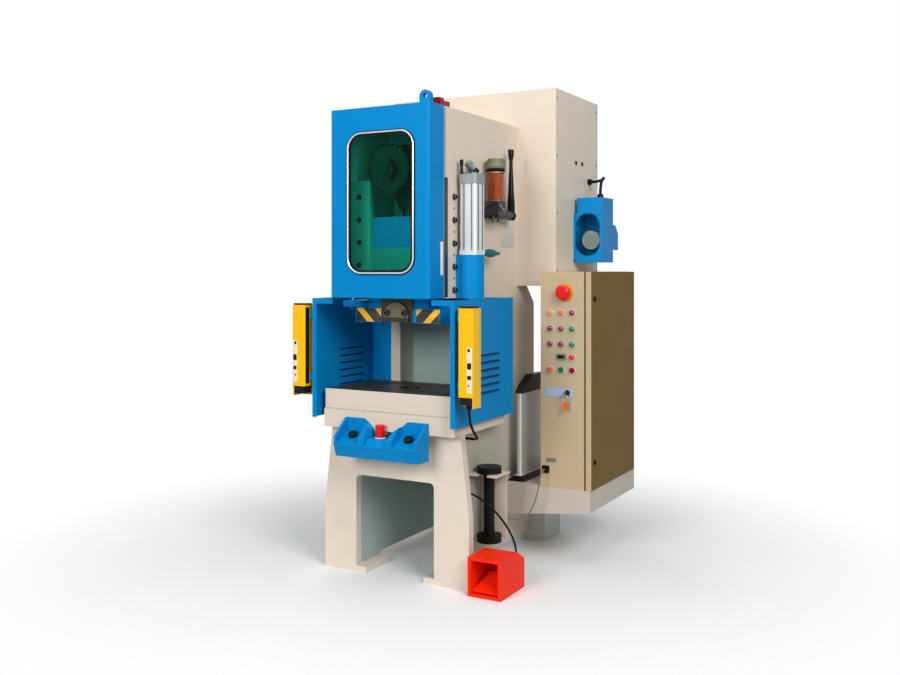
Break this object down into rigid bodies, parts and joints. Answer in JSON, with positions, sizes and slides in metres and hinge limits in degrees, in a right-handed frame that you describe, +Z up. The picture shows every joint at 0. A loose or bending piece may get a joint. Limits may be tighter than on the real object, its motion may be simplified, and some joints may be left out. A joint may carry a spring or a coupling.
{
  "type": "c-frame eccentric press",
  "caption": "Floor-standing C-frame eccentric press with a window cover, slotted bolster, side guards, light curtains, hooded hand console, control cabinet and foot pedal.",
  "frame": {"origin": "centre of the four anchor holes, at floor level", "axes": "+X to the operator's right, +Y away from the operator, +Z up"},
  "size_m": [1.191, 1.452, 2.245],
  "materials": {
    "cream": "satin paint",
    "beige": "textured powder coat",
    "blue": "gloss paint",
    "grey": "satin paint",
    "pedal_red": "gloss paint",
    "yellow": "satin paint",
    "steel": "machined",
    "iron": "machined casting",
    "bronze": "bearing bronze",
    "alu": "anodised extrusion",
    "black": "moulded",
    "teal": "sintered plastic",
    "red": "moulded",
    "green": "moulded",
    "orange": "moulded",
    "lamp": "moulded lens",
    "trim": "moulded",
    "rubber": "matt",
    "glass": "tinted clear sheet",
    "clear": "clear sheet",
    "oil": "clear bowl of oil"
  },
  "bodies": {
    "press": {"frame": "cream", "bolster_plate": "steel", "flywheel_cover": "cream", "gibs": "steel", "crank_bushes": "bronze", "balance_cylinder_left": "alu", "balance_cylinder_right": "alu", "balance_brackets": "blue", "silencers": "teal", "pump_body": "alu", "oil_bowl": "oil", "side_guard_left": "blue", "side_guard_right": "blue", "light_curtain_left": "yellow", "light_curtain_right": "yellow", "curtain_fittings": "black", "console_housing": "blue", "cabinet_body": "beige", "cabinet_bracket": "grey", "pilot_lamps": "lamp", "panel_fittings": "trim", "switchgear": "trim", "cable_glands": "black", "pedal_cable": "rubber", "curtain_cable": "rubber", "link_cable": "rubber", "cam_hose": "rubber", "pedal_housing": "pedal_red", "cam_box": "blue", "cam_glass": "clear", "interlock_switch": "red", "air_reservoir": "alu", "cable_spool": "black", "motor": "blue", "drive_belts": "rubber"},
    "crank": {"crankshaft": "steel", "eccentric_bush": "steel"},
    "conrod": {"connecting_rod": "steel", "adjusting_screw": "steel"},
    "ram": {"ram": "blue", "shank_clamp": "steel", "balance_rods": "steel"},
    "cam": {"cam_dial": "alu"},
    "flywheel": {"flywheel": "iron"},
    "pulley": {"motor_pulley": "iron"},
    "cover": {"front_cover": "blue", "window_pane": "glass", "window_seal": "rubber"},
    "lever": {"pump_lever": "black"},
    "palm_left": {"palm_button_left": "black"},
    "palm_right": {"palm_button_right": "black"},
    "console_stop": {"console_estop": "red"},
    "treadle": {"pedal_treadle": "pedal_red"},
    "door": {"cabinet_door": "beige", "door_locks": "black"},
    "cabinet_stop": {"cabinet_estop": "red"},
    "key": {"key_switch": "black"},
    "selector": {"mode_selector": "orange"},
    "start": {"start_button": "green"},
    "stop": {"stop_button": "red"}
  },
  "joints": [
    {"name": "crank_turn", "type": "hinge", "parent": "press", "child": "crank", "pos_m": [0, 0, 1.78], "axis": [0, 1, 0], "range_deg": [0, 180]},
    {"name": "conrod_swing", "type": "hinge", "parent": "crank", "child": "conrod", "pos_m": [0, -0.36, 1.81], "axis": [0, 1, 0], "range_deg": [-180, 0]},
    {"name": "ram_slide", "type": "slide", "parent": "press", "child": "ram", "axis": [0, 0, -1], "range_m": [0, 0.06]},
    {"name": "cam_turn", "type": "hinge", "parent": "press", "child": "cam", "pos_m": [0.551, 0.5, 1.513], "axis": [0, 1, 0], "range_deg": [0, 180]},
    {"name": "flywheel_spin", "type": "hinge", "parent": "press", "child": "flywheel", "pos_m": [0, 0.36, 1.78], "axis": [0, 1, 0], "continuous": true},
    {"name": "pulley_spin", "type": "hinge", "parent": "press", "child": "pulley", "pos_m": [-0.33, 0.36, 1.395], "axis": [0, 1, 0], "continuous": true},
    {"name": "cover_hinge", "type": "hinge", "parent": "press", "child": "cover", "pos_m": [-0.263, -0.51, 1.6], "axis": [0, 0, 1], "range_deg": [-100, 0]},
    {"name": "lever_swing", "type": "hinge", "parent": "press", "child": "lever", "pos_m": [0.303, 0.042, 1.622], "axis": [0, 1, 0], "range_deg": [0, 60], "stiffness_Nm_per_rad": 4},
    {"name": "palm_left_push", "type": "slide", "parent": "press", "child": "palm_left", "axis": [0, 0.4226, -0.9063], "range_m": [0, 0.006], "stiffness_N_per_m": 800},
    {"name": "palm_right_push", "type": "slide", "parent": "press", "child": "palm_right", "axis": [0, 0.4226, -0.9063], "range_m": [0, 0.006], "stiffness_N_per_m": 800},
    {"name": "console_stop_push", "type": "slide", "parent": "press", "child": "console_stop", "axis": [0, 0, -1], "range_m": [0, 0.005], "stiffness_N_per_m": 800},
    {"name": "treadle_press", "type": "hinge", "parent": "press", "child": "treadle", "pos_m": [0.4775, -0.538, 0.026], "axis": [1, 0, 0], "range_deg": [-10, 0], "stiffness_Nm_per_rad": 12, "springref_deg": 5.73},
    {"name": "door_swing", "type": "hinge", "parent": "press", "child": "door", "pos_m": [0.702, 0.641, 0.85], "axis": [0, 0, 1], "range_deg": [0, 120]},
    {"name": "cabinet_stop_push", "type": "slide", "parent": "press", "child": "cabinet_stop", "axis": [0, 1, 0], "range_m": [0, 0.005], "stiffness_N_per_m": 800},
    {"name": "key_turn", "type": "hinge", "parent": "press", "child": "key", "pos_m": [0.604, 0.033, 0.797], "axis": [0, 1, 0], "range_deg": [0, 60]},
    {"name": "selector_turn", "type": "hinge", "parent": "press", "child": "selector", "pos_m": [0.52, 0.033, 0.902], "axis": [0, 1, 0], "range_deg": [-45, 45]},
    {"name": "start_push", "type": "slide", "parent": "press", "child": "start", "axis": [0, 1, 0], "range_m": [0, 0.004], "stiffness_N_per_m": 800},
    {"name": "stop_push", "type": "slide", "parent": "press", "child": "stop", "axis": [0, 1, 0], "range_m": [0, 0.004], "stiffness_N_per_m": 800}
  ],
  "couplings": [
    {"joint": "conrod_swing", "follows": "crank_turn", "ratio": -1},
    {"joint": "ram_slide", "follows": "crank_turn", "m_per_rad": 0.019099},
    {"joint": "cam_turn", "follows": "crank_turn", "ratio": 1},
    {"joint": "pulley_spin", "follows": "flywheel_spin", "ratio": 6.5833}
  ]
}
